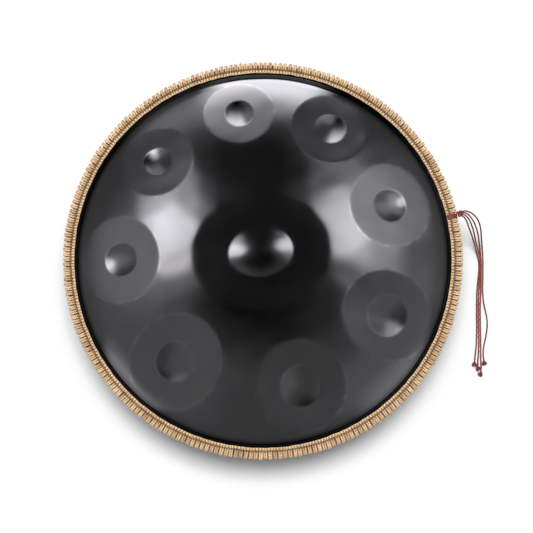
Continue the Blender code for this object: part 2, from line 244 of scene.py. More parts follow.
def noise(tree, vector, scale, detail=3.0, roughness=0.5):
    node = add_node(tree, "ShaderNodeTexNoise")
    node.inputs["Scale"].default_value = scale
    node.inputs["Detail"].default_value = detail
    node.inputs["Roughness"].default_value = roughness
    tree.links.new(vector, node.inputs["Vector"])
    return node.outputs["Fac"]


def mix_colour(tree, factor, a, b):
    node = add_node(tree, "ShaderNodeMix", data_type="RGBA")
    put(tree, node.inputs["Factor"], factor)
    for socket, value in ((node.inputs[6], a), (node.inputs[7], b)):
        put(tree, socket, (*value, 1.0) if isinstance(value, tuple) else value)
    return node.outputs[2]


def attribute(tree, name):
    return add_node(tree, "ShaderNodeAttribute", attribute_name=name)


def object_coordinates(tree):
    return add_node(tree, "ShaderNodeTexCoord").outputs["Object"]


def bump(tree, height, strength, distance):
    node = add_node(tree, "ShaderNodeBump")
    node.inputs["Strength"].default_value = strength
    node.inputs["Distance"].default_value = distance
    tree.links.new(height, node.inputs["Height"])
    return node.outputs["Normal"]


# ---- materials ------------------------------------------------------------------------------
def outside(tree, start, end):
    """Nought inside one radius from the axis and one outside the other."""
    place = add_node(tree, "ShaderNodeSeparateXYZ")
    tree.links.new(object_coordinates(tree), place.inputs[0])
    squares = maths(tree, "ADD", maths(tree, "MULTIPLY", place.outputs[0], place.outputs[0]),
                    maths(tree, "MULTIPLY", place.outputs[1], place.outputs[1]))
    return ramp_value(tree, maths(tree, "SQRT", squares), start, end)


def steel_material(name, tone, roughness, worn):
    """Dark nitrided steel: a thin oxide skin with faint mottling.  The worn one is polished a little
    where it is rubbed, and towards the trim it is smoother and darkened with painted shade, near
    black at the trim's edge."""
    material, tree, shader = new_material(name)
    place = object_coordinates(tree)
    mottle = noise(tree, place, 14.0, 4.0, 0.55)
    grain = noise(tree, place, 900.0, 2.0, 0.6)
    base = mix_colour(tree, ramp_value(tree, mottle, 0.3, 0.7), tone,
                      tuple(c * f for c, f in zip(tone, (1.10, 1.07, 1.05))))
    rough = ramp_value(tree, mottle, 0.25, 0.75, roughness - 0.02, roughness + 0.02)
    if worn:
        wear = attribute(tree, "wear").outputs["Fac"]
        scuff = maths(tree, "MULTIPLY", wear, ramp_value(tree, noise(tree, place, 60.0), 0.35, 0.7))
        base = mix_colour(tree, scuff, base, tuple(min(1.0, c * 1.35) for c in tone))
        rough = maths(tree, "SUBTRACT", rough, maths(tree, "MULTIPLY", scuff, 0.05))
        rough = maths(tree, "SUBTRACT", rough, maths(tree, "MULTIPLY", outside(tree, *FOOT), 0.15))
        # Painted shade: the steel darkens towards the trim, where the trim's dark reflection and
        # shadow fall.
        trim_shade = maths(tree, "MULTIPLY", outside(tree, *TRIM_SHADE_BAND), 0.7)
        base = mix_colour(tree, trim_shade, base, TRIM_SHADE_COLOUR)
        # Painted shade: near black at the trim's edge, in place of the trim's dark reflection and
        # shadow.
        base = mix_colour(tree, outside(tree, *EDGE_SHADE_BAND), base, EDGE_SHADE_COLOUR)
    shader.inputs["Metallic"].default_value = 1.0
    tree.links.new(base, shader.inputs["Base Color"])
    tree.links.new(rough, shader.inputs["Roughness"])
    tree.links.new(bump(tree, grain, 0.05, 0.0002), shader.inputs["Normal"])
    return material


def jute_material(name, light, dark):
    """Twisted plant fibre: plies wound round each strand, fine fibres and uneven colour, with painted
    shade in its grooves and deep in the trim.
    """
    material, tree, shader = new_material(name)
    strand = add_node(tree, "ShaderNodeSeparateXYZ")
    tree.links.new(attribute(tree, "strand").outputs["Vector"], strand.inputs[0])
    around = maths(tree, "ARCTAN2", strand.outputs[1], strand.outputs[0])
    along = strand.outputs[2]
    tone = attribute(tree, "tone").outputs["Fac"]
    crevice_shade = attribute(tree, "crevice_shade").outputs["Fac"]
    phase = maths(tree, "ADD", maths(tree, "MULTIPLY", around, JUTE_PLIES),
                  maths(tree, "MULTIPLY", along, JUTE_WIND))
    ply = ramp_value(tree, maths(tree, "SINE", phase), -1.0, -0.2)
    # The fibres are noise drawn out along the ply, and different on each strand by its tone.
    fibre_place = add_node(tree, "ShaderNodeCombineXYZ")
    put(tree, fibre_place.inputs[0], maths(tree, "MULTIPLY", phase, 1.6))
    put(tree, fibre_place.inputs[1], maths(tree, "MULTIPLY", along, 0.25))
    put(tree, fibre_place.inputs[2], maths(tree, "MULTIPLY", tone, 37.0))
    fibres = noise(tree, fibre_place.outputs[0], 1.6, 3.0, 0.65)
    patches = noise(tree, object_coordinates(tree), 45.0, 3.0, 0.6)
    # Light and dark by strand, by fibre and by patch; then painted shade in the grooves between the
    # plies, and the darkest painted shade deep in the trim.
    shade = maths(tree, "ADD", maths(tree, "MULTIPLY", tone, 0.45),
                  maths(tree, "MULTIPLY", ramp_value(tree, fibres, 0.35, 0.65), 0.45))
    patch = maths(tree, "MULTIPLY", ramp_value(tree, patches, 0.3, 0.7), 0.25)
    shade = maths(tree, "ADD", shade, patch, clamp=True)
    colour = mix_colour(tree, shade, dark, light)
    # Painted shade in the grooves between the plies.
    groove_shade = maths(tree, "MULTIPLY", maths(tree, "SUBTRACT", 1.0, ply), 0.6)
    colour = mix_colour(tree, groove_shade, colour, tuple(c * 0.35 for c in dark))
    colour = mix_colour(tree, crevice_shade, colour, tuple(c * f for c, f in zip(dark, (0.16, 0.11, 0.07))))
    tree.links.new(colour, shader.inputs["Base Color"])
    shader.inputs["Roughness"].default_value = 0.85
    shader.inputs["Specular IOR Level"].default_value = 0.25
    shader.inputs["Sheen Weight"].default_value = 0.15
    height = maths(tree, "ADD", ply, maths(tree, "MULTIPLY", fibres, 0.5))
    tree.links.new(bump(tree, height, 0.7, 0.0004), shader.inputs["Normal"])
    return material


def cord_material():
    """Waxed red-brown cord: shallow plies with painted shade in their grooves, under a soft wax
    shine.
    """
    material, tree, shader = new_material("waxed_cord")
    strand = add_node(tree, "ShaderNodeSeparateXYZ")
    tree.links.new(attribute(tree, "strand").outputs["Vector"], strand.inputs[0])
    around = maths(tree, "ARCTAN2", strand.outputs[1], strand.outputs[0])
    phase = maths(tree, "ADD", maths(tree, "MULTIPLY", around, float(CORD_PLIES)),
                  maths(tree, "MULTIPLY", strand.outputs[2], CORD_WIND))
    ply = ramp_value(tree, maths(tree, "SINE", phase), -1.0, 0.1)
    wax = ramp_value(tree, noise(tree, object_coordinates(tree), 160.0, 3.0, 0.6), 0.35, 0.7)
    # Painted shade in the grooves between the plies.
    colour = mix_colour(tree, ply, CORD_GROOVE_SHADE, CORD_FACE)
    colour = mix_colour(tree, maths(tree, "MULTIPLY", wax, 0.4), colour, CORD_WAX)
    tree.links.new(colour, shader.inputs["Base Color"])
    rough = ramp_value(tree, wax, 0.0, 1.0, 0.72, 0.55)
    tree.links.new(rough, shader.inputs["Roughness"])
    shader.inputs["Specular IOR Level"].default_value = 0.3
    tree.links.new(bump(tree, ply, 0.5, 0.0003), shader.inputs["Normal"])
    return material


def adhesive_material():
    """Cured black adhesive in the seam."""
    material, tree, shader = new_material("seam_adhesive")
    lumps = noise(tree, object_coordinates(tree), 220.0)
    colour = mix_colour(tree, lumps, (0.008, 0.008, 0.008), (0.03, 0.03, 0.032))
    tree.links.new(colour, shader.inputs["Base Color"])
    shader.inputs["Roughness"].default_value = 0.6
    tree.links.new(bump(tree, lumps, 0.3, 0.0005), shader.inputs["Normal"])
    return material


# ---- mesh helpers ---------------------------------------------------------------------------
def add_piece(name, vertices, faces, material, replaced, attributes=None):
    """A finished mesh piece that rides on the pan and stands for CAD nodes."""
    mesh = bpy.data.meshes.new(name)
    mesh.from_pydata(np.asarray(vertices).tolist(), [], faces)
    mesh.shade_smooth()
    for key, values in (attributes or {}).items():
        values = np.asarray(values, np.float32)
        kind = "FLOAT_VECTOR" if values.ndim == 2 else "FLOAT"
        layer = mesh.attributes.new(key, kind, "POINT")
        layer.data.foreach_set("vector" if values.ndim == 2 else "value", values.ravel())
    mesh.materials.append(material)
    piece = bpy.data.objects.new(name, mesh)
    bpy.context.scene.collection.objects.link(piece)
    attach(piece, "root")
    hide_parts(*replaced)
    return piece


def grid_faces(rows, columns, start):
    """Quads between closed rows of vertices."""
    faces = []
    for i in range(rows - 1):
        for j in range(columns):
            k = (j + 1) % columns
            a = start + i * columns
            b = a + columns
            faces.append((a + j, b + j, b + k, a + k))
    return faces


class TubeBatch:
    """Many round strands gathered into one mesh, with what their material needs to know."""

    def __init__(self):
        self.vertices = []
        self.faces = []
        self.strand = []
        self.tone = []
        self.crevice_shade = []
        self.count = 0

    def add(self, path, radius, sides, tone=0.5, crevice_shade=0.0, ply_depth=0.0, toward=None):
        """Sweep a round section along a path of points (n, 3); ply_depth gives it cord plies."""
        path = np.asarray(path, float)
        n = len(path)
        tangent = np.gradient(path, axis=0)
        tangent /= np.linalg.norm(tangent, axis=1)[:, None]
        side = first_normals(path, tangent, toward)
        other = np.cross(tangent, side)
        steps = np.linalg.norm(np.diff(path, axis=0), axis=1)
        along = np.concatenate([[0.0], np.cumsum(steps)])
        angle = np.arange(sides) * 2 * math.pi / sides
        wave = CORD_PLIES * angle[None, :] + 2 * math.pi * along[:, None] / CORD_LAY
        reach = radius * (1 + ply_depth * np.cos(wave))
        ring = (path[:, None, :]
                + (reach * np.cos(angle))[:, :, None] * side[:, None, :]
                + (reach * np.sin(angle))[:, :, None] * other[:, None, :])
        self.vertices.append(ring.reshape(-1, 3))
        self.faces += grid_faces(n, sides, self.count)
        self.faces.append(tuple(self.count + j for j in range(sides)))
        self.faces.append(tuple(self.count + (n - 1) * sides + j for j in reversed(range(sides))))
        self.count += n * sides
        info = np.empty((n, sides, 3))
        info[:, :, 0] = np.cos(angle)
        info[:, :, 1] = np.sin(angle)
        info[:, :, 2] = along[:, None] * 1000
        self.strand.append(info.reshape(-1, 3))
        self.tone.append(np.full(n * sides, tone))
        self.crevice_shade.append(np.repeat(np.broadcast_to(np.asarray(crevice_shade, float), (n,)), sides))

    def add_solid(self, vertices, faces, tone, crevice_shade):
        """Add a ready-made surface to the same mesh."""
        vertices = np.asarray(vertices)
        self.vertices.append(vertices)
        self.faces += [tuple(self.count + i for i in face) for face in faces]
        self.count += len(vertices)
        self.strand.append(np.tile((1.0, 0.0, 0.0), (len(vertices), 1)))
        self.tone.append(np.full(len(vertices), tone))
        self.crevice_shade.append(np.full(len(vertices), crevice_shade))

    def finish(self, name, material, replaced):
        attributes = {"strand": np.concatenate(self.strand),
                      "tone": np.concatenate(self.tone),
                      "crevice_shade": np.concatenate(self.crevice_shade)}
        vertices = np.concatenate(self.vertices)
        return add_piece(name, vertices, self.faces, material, replaced, attributes)


def first_normals(path, tangent, toward):
    """One unit vector across the path at each point: the nearest to toward, where that is given,
    or else turning as little as it can."""
    if toward is not None:
        side = np.broadcast_to(np.asarray(toward, float), path.shape)
        side = side - (side * tangent).sum(1)[:, None] * tangent
        return side / np.linalg.norm(side, axis=1)[:, None]
    current = np.array((0.0, 0.0, 1.0) if abs(tangent[0][2]) < 0.8 else (1.0, 0.0, 0.0))
    side = np.empty_like(path)
    for i in range(len(path)):
        current = current - (current @ tangent[i]) * tangent[i]
        current = current / np.linalg.norm(current)
        side[i] = current
    return side


def smooth_route(route, spacing):
    """Evenly spaced points on a smooth curve through the route's own points."""
    route = np.asarray(route, float)
    padded = np.concatenate([[2 * route[0] - route[1]], route, [2 * route[-1] - route[-2]]])
    t = np.linspace(0, 1, 40, endpoint=False)[:, None]
    dense = []
    for i in range(1, len(padded) - 2):
        p0, p1, p2, p3 = padded[i - 1:i + 3]
        dense.append(0.5 * (2 * p1 + (p2 - p0) * t + (2 * p0 - 5 * p1 + 4 * p2 - p3) * t ** 2
                            + (3 * p1 - p0 - 3 * p2 + p3) * t ** 3))
    dense = np.concatenate(dense + [route[-1:]])
    travelled = np.concatenate([[0], np.cumsum(np.linalg.norm(np.diff(dense, axis=0), axis=1))])
    wanted = np.linspace(0, travelled[-1], max(2, round(travelled[-1] / spacing)) + 1)
    return np.stack([np.interp(wanted, travelled, dense[:, k]) for k in range(3)], axis=1)


# ---- shell surfaces -------------------------------------------------------------------------
def soft_step(value, softness):
    """Zero below nought and equal to the value above it, with a rounded corner between."""
    return softness * np.logaddexp(0.0, value / softness)


def bowl_q(radius):
    """Height of the bowls' ellipse at a radius, as a share of its full height."""
    return np.sqrt(np.maximum(1.0 - (radius / BOWL_A) ** 2, 0.0))


def inside_ellipse(x, y, centre, turn, half_sizes):
    """One at the ellipse's centre, nought on its outline and negative outside."""
    along = (x - centre[0]) * math.cos(turn) + (y - centre[1]) * math.sin(turn)
    across = -(x - centre[0]) * math.sin(turn) + (y - centre[1]) * math.cos(turn)
    return 1.0 - (along / half_sizes[0]) ** 2 - (across / half_sizes[1]) ** 2


def field_shapes(x, y):
    """For each tone field: its flat and its dimple, with their depths."""
    for degrees, centre_r, half_along, half_across, half_dimple in TONE_FIELDS:
        turn = math.radians(degrees)
        centre = (centre_r * math.cos(turn), centre_r * math.sin(turn))
        q = float(bowl_q(centre_r))
        bulge_along = half_along ** 2 * TOP_B / (2 * BOWL_A ** 2 * q ** 3)
        bulge_across = half_across ** 2 * TOP_B / (2 * BOWL_A ** 2 * q)
        depth = FLATTENING * (bulge_along + bulge_across) / 2
        flat = inside_ellipse(x, y, centre, turn, (half_along, half_across))
        dimple = inside_ellipse(x, y, centre, turn, (half_dimple, half_dimple))
        yield flat, depth, dimple, DIMPLE_DEPTH * half_dimple


def forming(x, y):
    """Height that hammering adds to the turned top bowl at each point x, y."""
    lift = np.zeros_like(x)
    for flat, depth, dimple, dimple_depth in field_shapes(x, y):
        lift -= depth * soft_step(flat, FIELD_EDGE) + dimple_depth * soft_step(dimple, DIMPLE_EDGE)
    flat = inside_ellipse(x, y, DING_CENTRE, DING_TURN, DING_FIELD)
    dome = inside_ellipse(x, y, DING_CENTRE, DING_TURN, DING_DOME)
    lift -= DING_FIELD_DEPTH * soft_step(flat, FIELD_EDGE)
    return lift + DING_RISE * soft_step(dome, DIMPLE_EDGE)


def hammering(x, y):
    """The faint unevenness that hand hammering leaves, as a sum of gentle waves."""
    waves = np.random.default_rng(21)
    height = np.zeros_like(x)
    for _ in range(HAMMER_MARKS):
        heading = waves.uniform(0, math.pi)
        length = waves.uniform(0.030, 0.085)
        phase = waves.uniform(0, 2 * math.pi)
        travel = x * math.cos(heading) + y * math.sin(heading)
        height += length * HAMMER_SHARE * np.sin(2 * math.pi * travel / length + phase)
    return height * np.clip((BOWL_EDGE_R - np.hypot(x, y)) / HAMMER_FADE, 0, 1)


def top_height(x, y):
    """The top shell's outer surface over the point x, y inside the bowl's edge."""
    edge = RIM_Z + SEAM_HALF + SHEET + CORNER_RISE
    bowl = edge + TOP_B * (bowl_q(np.hypot(x, y)) - bowl_q(BOWL_EDGE_R))
    return bowl + forming(x, y) + hammering(x, y)


def disc_grid(cells):
    """A square grid wrapped onto the unit disc: x, y and the outline's vertices in order."""
    line = np.linspace(-1, 1, cells + 1)
    a, b = np.meshgrid(line, line, indexing="ij")
    wide = np.abs(a) > np.abs(b)
    safe_a = np.where(a == 0, 1, a)
    safe_b = np.where(b == 0, 1, b)
    radius = np.where(wide, a, b)
    angle = np.where(wide, math.pi / 4 * b / safe_a, math.pi / 2 - math.pi / 4 * a / safe_b)
    x, y = radius * np.cos(angle), radius * np.sin(angle)
    index = np.arange((cells + 1) ** 2).reshape(cells + 1, cells + 1)
    outline = np.concatenate([index[-1, :-1], index[:0:-1, -1], index[0, :0:-1], index[:-1, 0]])
    return x.ravel(), y.ravel(), index, outline


def grid_quads(index, flip):
    """Quads of a square grid, from its table of vertex numbers."""
    a, b, c, d = index[:-1, :-1], index[1:, :-1], index[1:, 1:], index[:-1, 1:]
    quads = np.stack([a, b, c, d], axis=-1).reshape(-1, 4)
    return (quads[:, ::-1] if flip else quads).tolist()


def band_faces(inner, outer):
    """Quads between two rings of the same number of vertices."""
    faces = []
    for j in range(len(inner)):
        k = (j + 1) % len(inner)
        faces.append((int(inner[j]), int(outer[j]), int(outer[k]), int(inner[k])))
    return faces


def make_top_shell(material):
    """The playing shell as one closed sheet, fine outside and coarser inside."""
    cells = 272
    x, y, index, outline = disc_grid(cells)
    x, y = x * BOWL_EDGE_R, y * BOWL_EDGE_R
    z = top_height(x, y)
    outer = np.stack([x, y, z], axis=1)
    heading = outer[outline][:, :2] / np.linalg.norm(outer[outline][:, :2], axis=1)[:, None]
    face = RIM_Z + SEAM_HALF + SHEET
    rings = []
    for radius, height in ((BOWL_EDGE_R + CORNER_RUN, face), (FLANGE_R, face),
                           (FLANGE_R, face - SHEET)):
        rings.append(np.column_stack([heading * radius, np.full(len(heading), height)]))
    # The inside is a coarser copy that meets the flange's lower edge one vertex in four.
    ratio = 4
    xi, yi, index_in, outline_in = disc_grid(cells // ratio)
    inner_r = BOWL_EDGE_R - SHEET
    xi, yi = xi * inner_r, yi * inner_r
    slope = 1.0 / np.maximum(bowl_q(np.hypot(xi, yi)), 0.45)
    zi = top_height(xi, yi) - SHEET * slope
    zi[outline_in] = face - SHEET
    vertices = np.concatenate([outer] + rings + [np.stack([xi, yi, zi], axis=1)])
    count = len(outer)
    ring_ids = [np.arange(len(outline)) + count + k * len(outline) for k in range(3)]
    start_in = count + 3 * len(outline)
    faces = grid_quads(index, flip=False)
    faces += band_faces(outline, ring_ids[0])
    faces += band_faces(ring_ids[0], ring_ids[1])
    faces += band_faces(ring_ids[1], ring_ids[2])
    faces += grid_quads(index_in + start_in, flip=True)
    inner_ring = outline_in + start_in
    for j in range(len(inner_ring)):
        k = (j + 1) % len(inner_ring)
        fan = [int(ring_ids[2][(j * ratio + m) % len(outline)]) for m in range(ratio + 1)]
        faces.append(tuple(fan + [int(inner_ring[k]), int(inner_ring[j])]))
    wear = np.zeros(len(vertices))
    wear[:count] = edge_wear(x, y)
    piece = add_piece("top_shell_surface", vertices, faces, material,
                      ["top_shell"], {"wear": wear})
    set_shell_normals(piece, count, x, y)


def edge_wear(x, y):
    """Where the formed edges stand proud and are rubbed: one on each edge, fading away."""
    wear = np.zeros_like(x)
    for flat, _, dimple, _ in field_shapes(x, y):
        wear = np.maximum(wear, np.exp(-((flat + 0.04) / 0.07) ** 2))
        wear = np.maximum(wear, np.exp(-((dimple + 0.05) / 0.12) ** 2))
    flat = inside_ellipse(x, y, DING_CENTRE, DING_TURN, DING_FIELD)
    dome = inside_ellipse(x, y, DING_CENTRE, DING_TURN, DING_DOME)
    wear = np.maximum(wear, np.exp(-((flat + 0.02) / 0.04) ** 2))
    return np.maximum(wear, 0.6 * np.clip(dome, 0, 1))


def set_shell_normals(piece, count, x, y):
    """Give the fine outer surface the exact normals of its formula."""
    mesh = piece.data
    normals = np.empty(len(mesh.vertices) * 3)
    mesh.vertices.foreach_get("normal", normals)
    normals = normals.reshape(-1, 3)
    step = 0.0002
    inside = np.hypot(x, y) < BOWL_EDGE_R - 2 * step
    slope_x = (top_height(x + step, y) - top_height(x - step, y)) / (2 * step)
    slope_y = (top_height(x, y + step) - top_height(x, y - step)) / (2 * step)
    exact = np.stack([-slope_x, -slope_y, np.ones_like(x)], axis=1)
    exact /= np.linalg.norm(exact, axis=1)[:, None]
    normals[:count][inside] = exact[inside]
    mesh.normals_split_custom_set_from_vertices(normals.tolist())


def arc_points(centre, half_sizes, start, end, count):
    """Points of (radius, height) along an elliptical arc, angles in degrees."""
    angles = np.radians(np.linspace(start, end, count))
    return [(centre[0] + half_sizes[0] * math.cos(t), centre[1] + half_sizes[1] * math.sin(t))
            for t in angles]


def turned(profile, steps):
    """Vertices and faces of a closed profile of (radius, height) turned about Z."""
    profile = np.asarray(profile)
    angle = np.arange(steps) * 2 * math.pi / steps
    ring = np.stack([profile[:, None, 0] * np.cos(angle), profile[:, None, 0] * np.sin(angle),
                     np.broadcast_to(profile[:, None, 1], (len(profile), steps))], axis=-1)
    count = len(profile)
    faces = []
    for i in range(count):
        a, b = i * steps, (i + 1) % count * steps
        for j in range(steps):
            k = (j + 1) % steps
            faces.append((a + j, b + j, b + k, a + k))
    return ring.reshape(-1, 3), faces


def make_bottom_shell(material):
    """The lower bowl with its flange, resting ring and inward neck, as a closed sheet."""
    face = RIM_Z - SEAM_HALF - SHEET
    drop = face - CORNER_RISE
    span = float(bowl_q(REST_OUTER_R) - bowl_q(BOWL_EDGE_R))
    radii = REST_OUTER_R + (BOWL_EDGE_R - REST_OUTER_R) * np.linspace(1, 0, 70)
    heights = drop - drop / span * (bowl_q(radii) - bowl_q(BOWL_EDGE_R))
    outer = [(FLANGE_R, face), (BOWL_EDGE_R + CORNER_RUN, face)]
    outer += list(zip(radii.tolist(), heights.tolist()))
    outer += [((REST_INNER_R + REST_OUTER_R) / 2, 0.0), (REST_INNER_R, 0.0)]
    rounding = (REST_INNER_R - PORT_R, PORT_ROUND)
    outer += arc_points((REST_INNER_R, PORT_ROUND), rounding, 262, 180, 9)
    neck_top = PORT_R - NECK_DRAW
    outer += [(PORT_R - NECK_DRAW / 2, (NECK_RISE + PORT_ROUND) / 2), (neck_top, NECK_RISE)]
    path = np.array(outer)
    tangent = np.gradient(path, axis=0)
    tangent /= np.linalg.norm(tangent, axis=1)[:, None]
    inward = np.stack([tangent[:, 1], -tangent[:, 0]], axis=1)
    inside = path + inward * SHEET
    inside[0] = (FLANGE_R, face + SHEET)
    inside[-1] = (neck_top + SHEET, NECK_RISE)
    vertices, faces = turned(outer + inside[::-1].tolist(), 288)
    piece = add_piece("bottom_shell_surface", vertices, faces, material,
                      ["bottom_shell"])
    piece.data.set_sharp_from_angle(angle=math.radians(50))


# ---- rim trim -------------------------------------------------------------------------------
def keep_from_mirrors(piece):
    """Leave a piece out of what the steel reflects, so that the bowl's foot stays dark."""
    piece.visible_glossy = False
    return piece


def trim_point(angle, section, outward, upward, shift):
    """A point on the trim's section at an angle round the rim; shift moves it along the rim."""
    radius = TRIM_R + outward * np.cos(section)
    height = RIM_Z + upward * np.sin(section)
    turn = angle + shift / TRIM_OUTER_R
    return np.stack([radius * np.cos(turn), radius * np.sin(turn), height], axis=-1)


def make_rim_wrap(material):
    """Jute wound over the rim, stitch by stitch: two strands in each, over a core painted dark as
    shade.
    """
    batch = TubeBatch()
    core = arc_points((TRIM_R, RIM_Z), TRIM_CORE, 128, -128, 15)
    slot_half = SEAM_HALF + SHEET + 0.0002
    slot_end = FLANGE_R + 0.0008
    core += [(core[-1][0], RIM_Z - slot_half), (slot_end, RIM_Z - slot_half),
             (slot_end, RIM_Z + slot_half), (core[0][0], RIM_Z + slot_half)]
    # The core is painted dark as the shade between the stitches.
    batch.add_solid(*turned(core, 128), tone=0.1, crevice_shade=0.95)
    reach_out = TRIM_OUTER_R + STITCH_STAND - TRIM_R - STRAND_R
    reach_up = WRAP_HIGH.z + STITCH_RISE - RIM_Z - STRAND_R
    pitch = 2 * math.pi / STITCHES
    section = np.radians(np.linspace(126, -126, 14))
    from_middle = np.abs(np.degrees(section))
    dive = STITCH_DIVE * np.clip((from_middle - 96) / 26, 0, 1)
    # Painted shade: the stitches darken towards their ends, where they dive under the plaits.
    crevice_shade = np.clip((from_middle - 78) / 34, 0, 1) * 0.9
    drawn = np.random.default_rng(7)
    for i in range(STITCHES):
        angle = pitch * (i + drawn.uniform(-0.03, 0.03))
        stitch_tone = drawn.uniform(0.2, 0.9)
        swell = drawn.uniform(-0.0004, 0.0004)
        slant = drawn.uniform(-0.0002, 0.0010)
        pinch = lashing_pinch(angle)
        for lane in (-1, 1):
            spread = lane * STRAND_APART * (1.02 - 0.22 * np.cos(section))
            shift = spread + slant * section / 2 + drawn.uniform(-0.00015, 0.00015)
            bow = swell + drawn.uniform(-0.0004, 0.0004) - pinch
            path = trim_point(angle, section, reach_out + bow - dive, reach_up + bow - dive, shift)
            radius = STRAND_R * drawn.uniform(0.92, 1.06)
            tone = np.clip(stitch_tone + drawn.uniform(-0.35, 0.35), 0, 1)
            batch.add(path, radius, 9, tone=tone, crevice_shade=crevice_shade,
                      toward=(-math.sin(angle), math.cos(angle), 0.0))
    keep_from_mirrors(batch.finish("rim_wrap_stitches", material, ["rim_wrap"]))


def lashing_pinch(angle):
    """How far the tie lashing presses a stitch in, by its angle round the rim."""
    away = (angle - LASHING_ANGLE + math.pi) % (2 * math.pi) - math.pi
    return 0.0012 * math.exp(-(away * TRIM_OUTER_R / 0.006) ** 2)


def make_edge_braid(name, side, material):
    """A two-strand plait along the wrap's edge: side +1 above the rim, -1 below."""
    batch = TubeBatch()
    middle = SEAM_HALF + SHEET + (BRAID_HIGH.z - BRAID_LOW.z) / 2 + 0.0003
    centre = (BRAID_R, RIM_Z + side * (middle - 0.0010))
    core = arc_points(centre, BRAID_CORE, 180, -180, 11)
    # The plait's core is painted dark as the shade inside the plait.
    batch.add_solid(*turned(core[:-1], 128), tone=0.1, crevice_shade=0.85)
    samples, sides = (16, 8) if side > 0 else (12, 6)
    t = np.linspace(0, 2 * math.pi, STITCHES * samples + 1)
    jitter = np.random.default_rng(40 + side)
    drift = sum(jitter.uniform(-0.00015, 0.00015) * np.sin(k * t + jitter.uniform(0, 6.3))
                for k in (37, 61, 97, 143))
    for strand in (0, 1):
        phase = PLAIT_TURNS * t + math.pi * strand + 0.5 * np.sin(61 * t)
        radius = BRAID_R + BRAID_SWAY * np.sin(phase) + drift
        lift = BRAID_LIFT * np.cos(phase + math.pi * strand)
        height = RIM_Z + side * (middle + 0.0008 + lift)
        path = np.stack([radius * np.cos(t), radius * np.sin(t), height], axis=1)
        outward = np.clip(np.sin(phase), 0, 1) ** 2
        # Painted shade where a plait strand dips under the other and where it swings outward.
        crevice_shade = np.clip(0.4 - lift / BRAID_LIFT, 0, 1) * 0.6 + 0.4 * outward
        batch.add(path, BRAID_STRAND_R, sides, tone=0.5 + 0.3 * strand, crevice_shade=crevice_shade,
                  toward=(0.0, 0.0, 1.0))
    keep_from_mirrors(batch.finish(name + "_plait", material, [name]))


# ---- tie cord -------------------------------------------------------------------------------
def make_lashing(material):
    """Three turns of waxed cord across the trim."""
    clear = CORD_R + 0.0001
    section = np.radians(np.linspace(84, -84, 17))
    reach_out = TRIM_OUTER_R - TRIM_R + clear
    reach_up = WRAP_HIGH.z - RIM_Z + clear
    over = np.stack([TRIM_R + reach_out * np.cos(section), reach_up * np.sin(section)], axis=1)
    top = BRAID_HIGH.z - RIM_Z + clear
    inner = np.array([(BRAID_R - 0.0012, top), (BRAID_R + 0.0012, top + 0.0002)])
    lower = inner[::-1] * (1, -1)
    profile = np.concatenate([inner, over, lower])
    route = []
    for turn in (-1, 0, 1):
        for radius, height in (profile if turn != 0 else profile[::-1]):
            route.append((radius, turn * LASHING_STEP, RIM_Z + height))
    route = np.array(route)
    c, s = math.cos(LASHING_ANGLE), math.sin(LASHING_ANGLE)
    route = np.stack([c * route[:, 0] - s * route[:, 1], s * route[:, 0] + c * route[:, 1],
                      route[:, 2]], axis=1)
    batch = TubeBatch()
    batch.add(smooth_route(route, 0.0006), CORD_R, 12, ply_depth=PLY_DEPTH)
    return keep_from_mirrors(batch.finish("tie_lashing_turns", material,
                                          ["tie_lashing"]))


def knot_path(centre, scale, turn, squash):
    """The closed line of an overhand knot, pulled tight."""
    t = np.linspace(0, 2 * math.pi, 90, endpoint=False)
    x = np.sin(t) + 2 * np.sin(2 * t)
    y = np.cos(t) - 2 * np.cos(2 * t)
    z = -np.sin(3 * t) * squash
    c, s = math.cos(turn), math.sin(turn)
    points = np.stack([c * x - s * y, s * x + c * y, z], axis=1)
    return np.asarray(centre) + points * scale


def make_knot(name, centre, scale, turn, node, material, squash=2.2, leads=()):
    """A tight overhand knot; leads are cords that run from its middle to the given points."""
    batch = TubeBatch()
    path = knot_path(centre, scale, turn, squash)
    path = np.concatenate([path, path[:2]])
    batch.add(path, CORD_R, 12, ply_depth=KNOT_PLY_DEPTH)
    for end in leads:
        batch.add(np.linspace(centre, end, 8), CORD_R, 12, ply_depth=PLY_DEPTH)
    return keep_from_mirrors(batch.finish(name, material, [node]))


def make_tie(material):
    """The lashing, the knot outside it and the four tails, each ending in a knot."""
    lashing = make_lashing(material)
    low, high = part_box("tie_knot")
    starts = [np.array(route[0]) / 1000 for route in TAIL_ROUTES]
    knot = make_knot("tie_knot_turns", (low + high) / 2, TIE_KNOT_SCALE, KNOT_ANGLE, "tie_knot",
                     material, squash=2.4, leads=starts)
    for number, route in enumerate(TAIL_ROUTES, start=1):
        node = f"tie_strand_{number}"
        path = smooth_route(np.array(route) / 1000, 0.0008)
        batch = TubeBatch()
        batch.add(path, CORD_R, 14, ply_depth=PLY_DEPTH)
        tail = keep_from_mirrors(batch.finish(f"tie_tail_{number}", material, [node]))
        end_node = f"end_knot_{number}"
        low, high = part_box(end_node)
        end = make_knot(f"tail_knot_{number}", (low + high) / 2, END_KNOT_SCALE, number * 1.3,
                        end_node, material)


# ---- studio ---------------------------------------------------------------------------------
def make_camera():
    """High above the pan, leaning a little towards -Y."""
    data = bpy.data.cameras.new("camera")
    data.sensor_width = 36.0
    data.lens = 185.9
    camera = bpy.data.objects.new("camera", data)
    bpy.context.scene.collection.objects.link(camera)
    tilt = math.radians(6.3)
    distance = 4.0
    aim = Vector((0.0051, -0.0102, RIM_Z))
    back = Vector((0.0, -math.sin(tilt), math.cos(tilt)))
    camera.location = aim + back * distance
    camera.rotation_mode = "QUATERNION"
    camera.rotation_quaternion = (-back).to_track_quat("-Z", "Y")
    bpy.context.scene.camera = camera


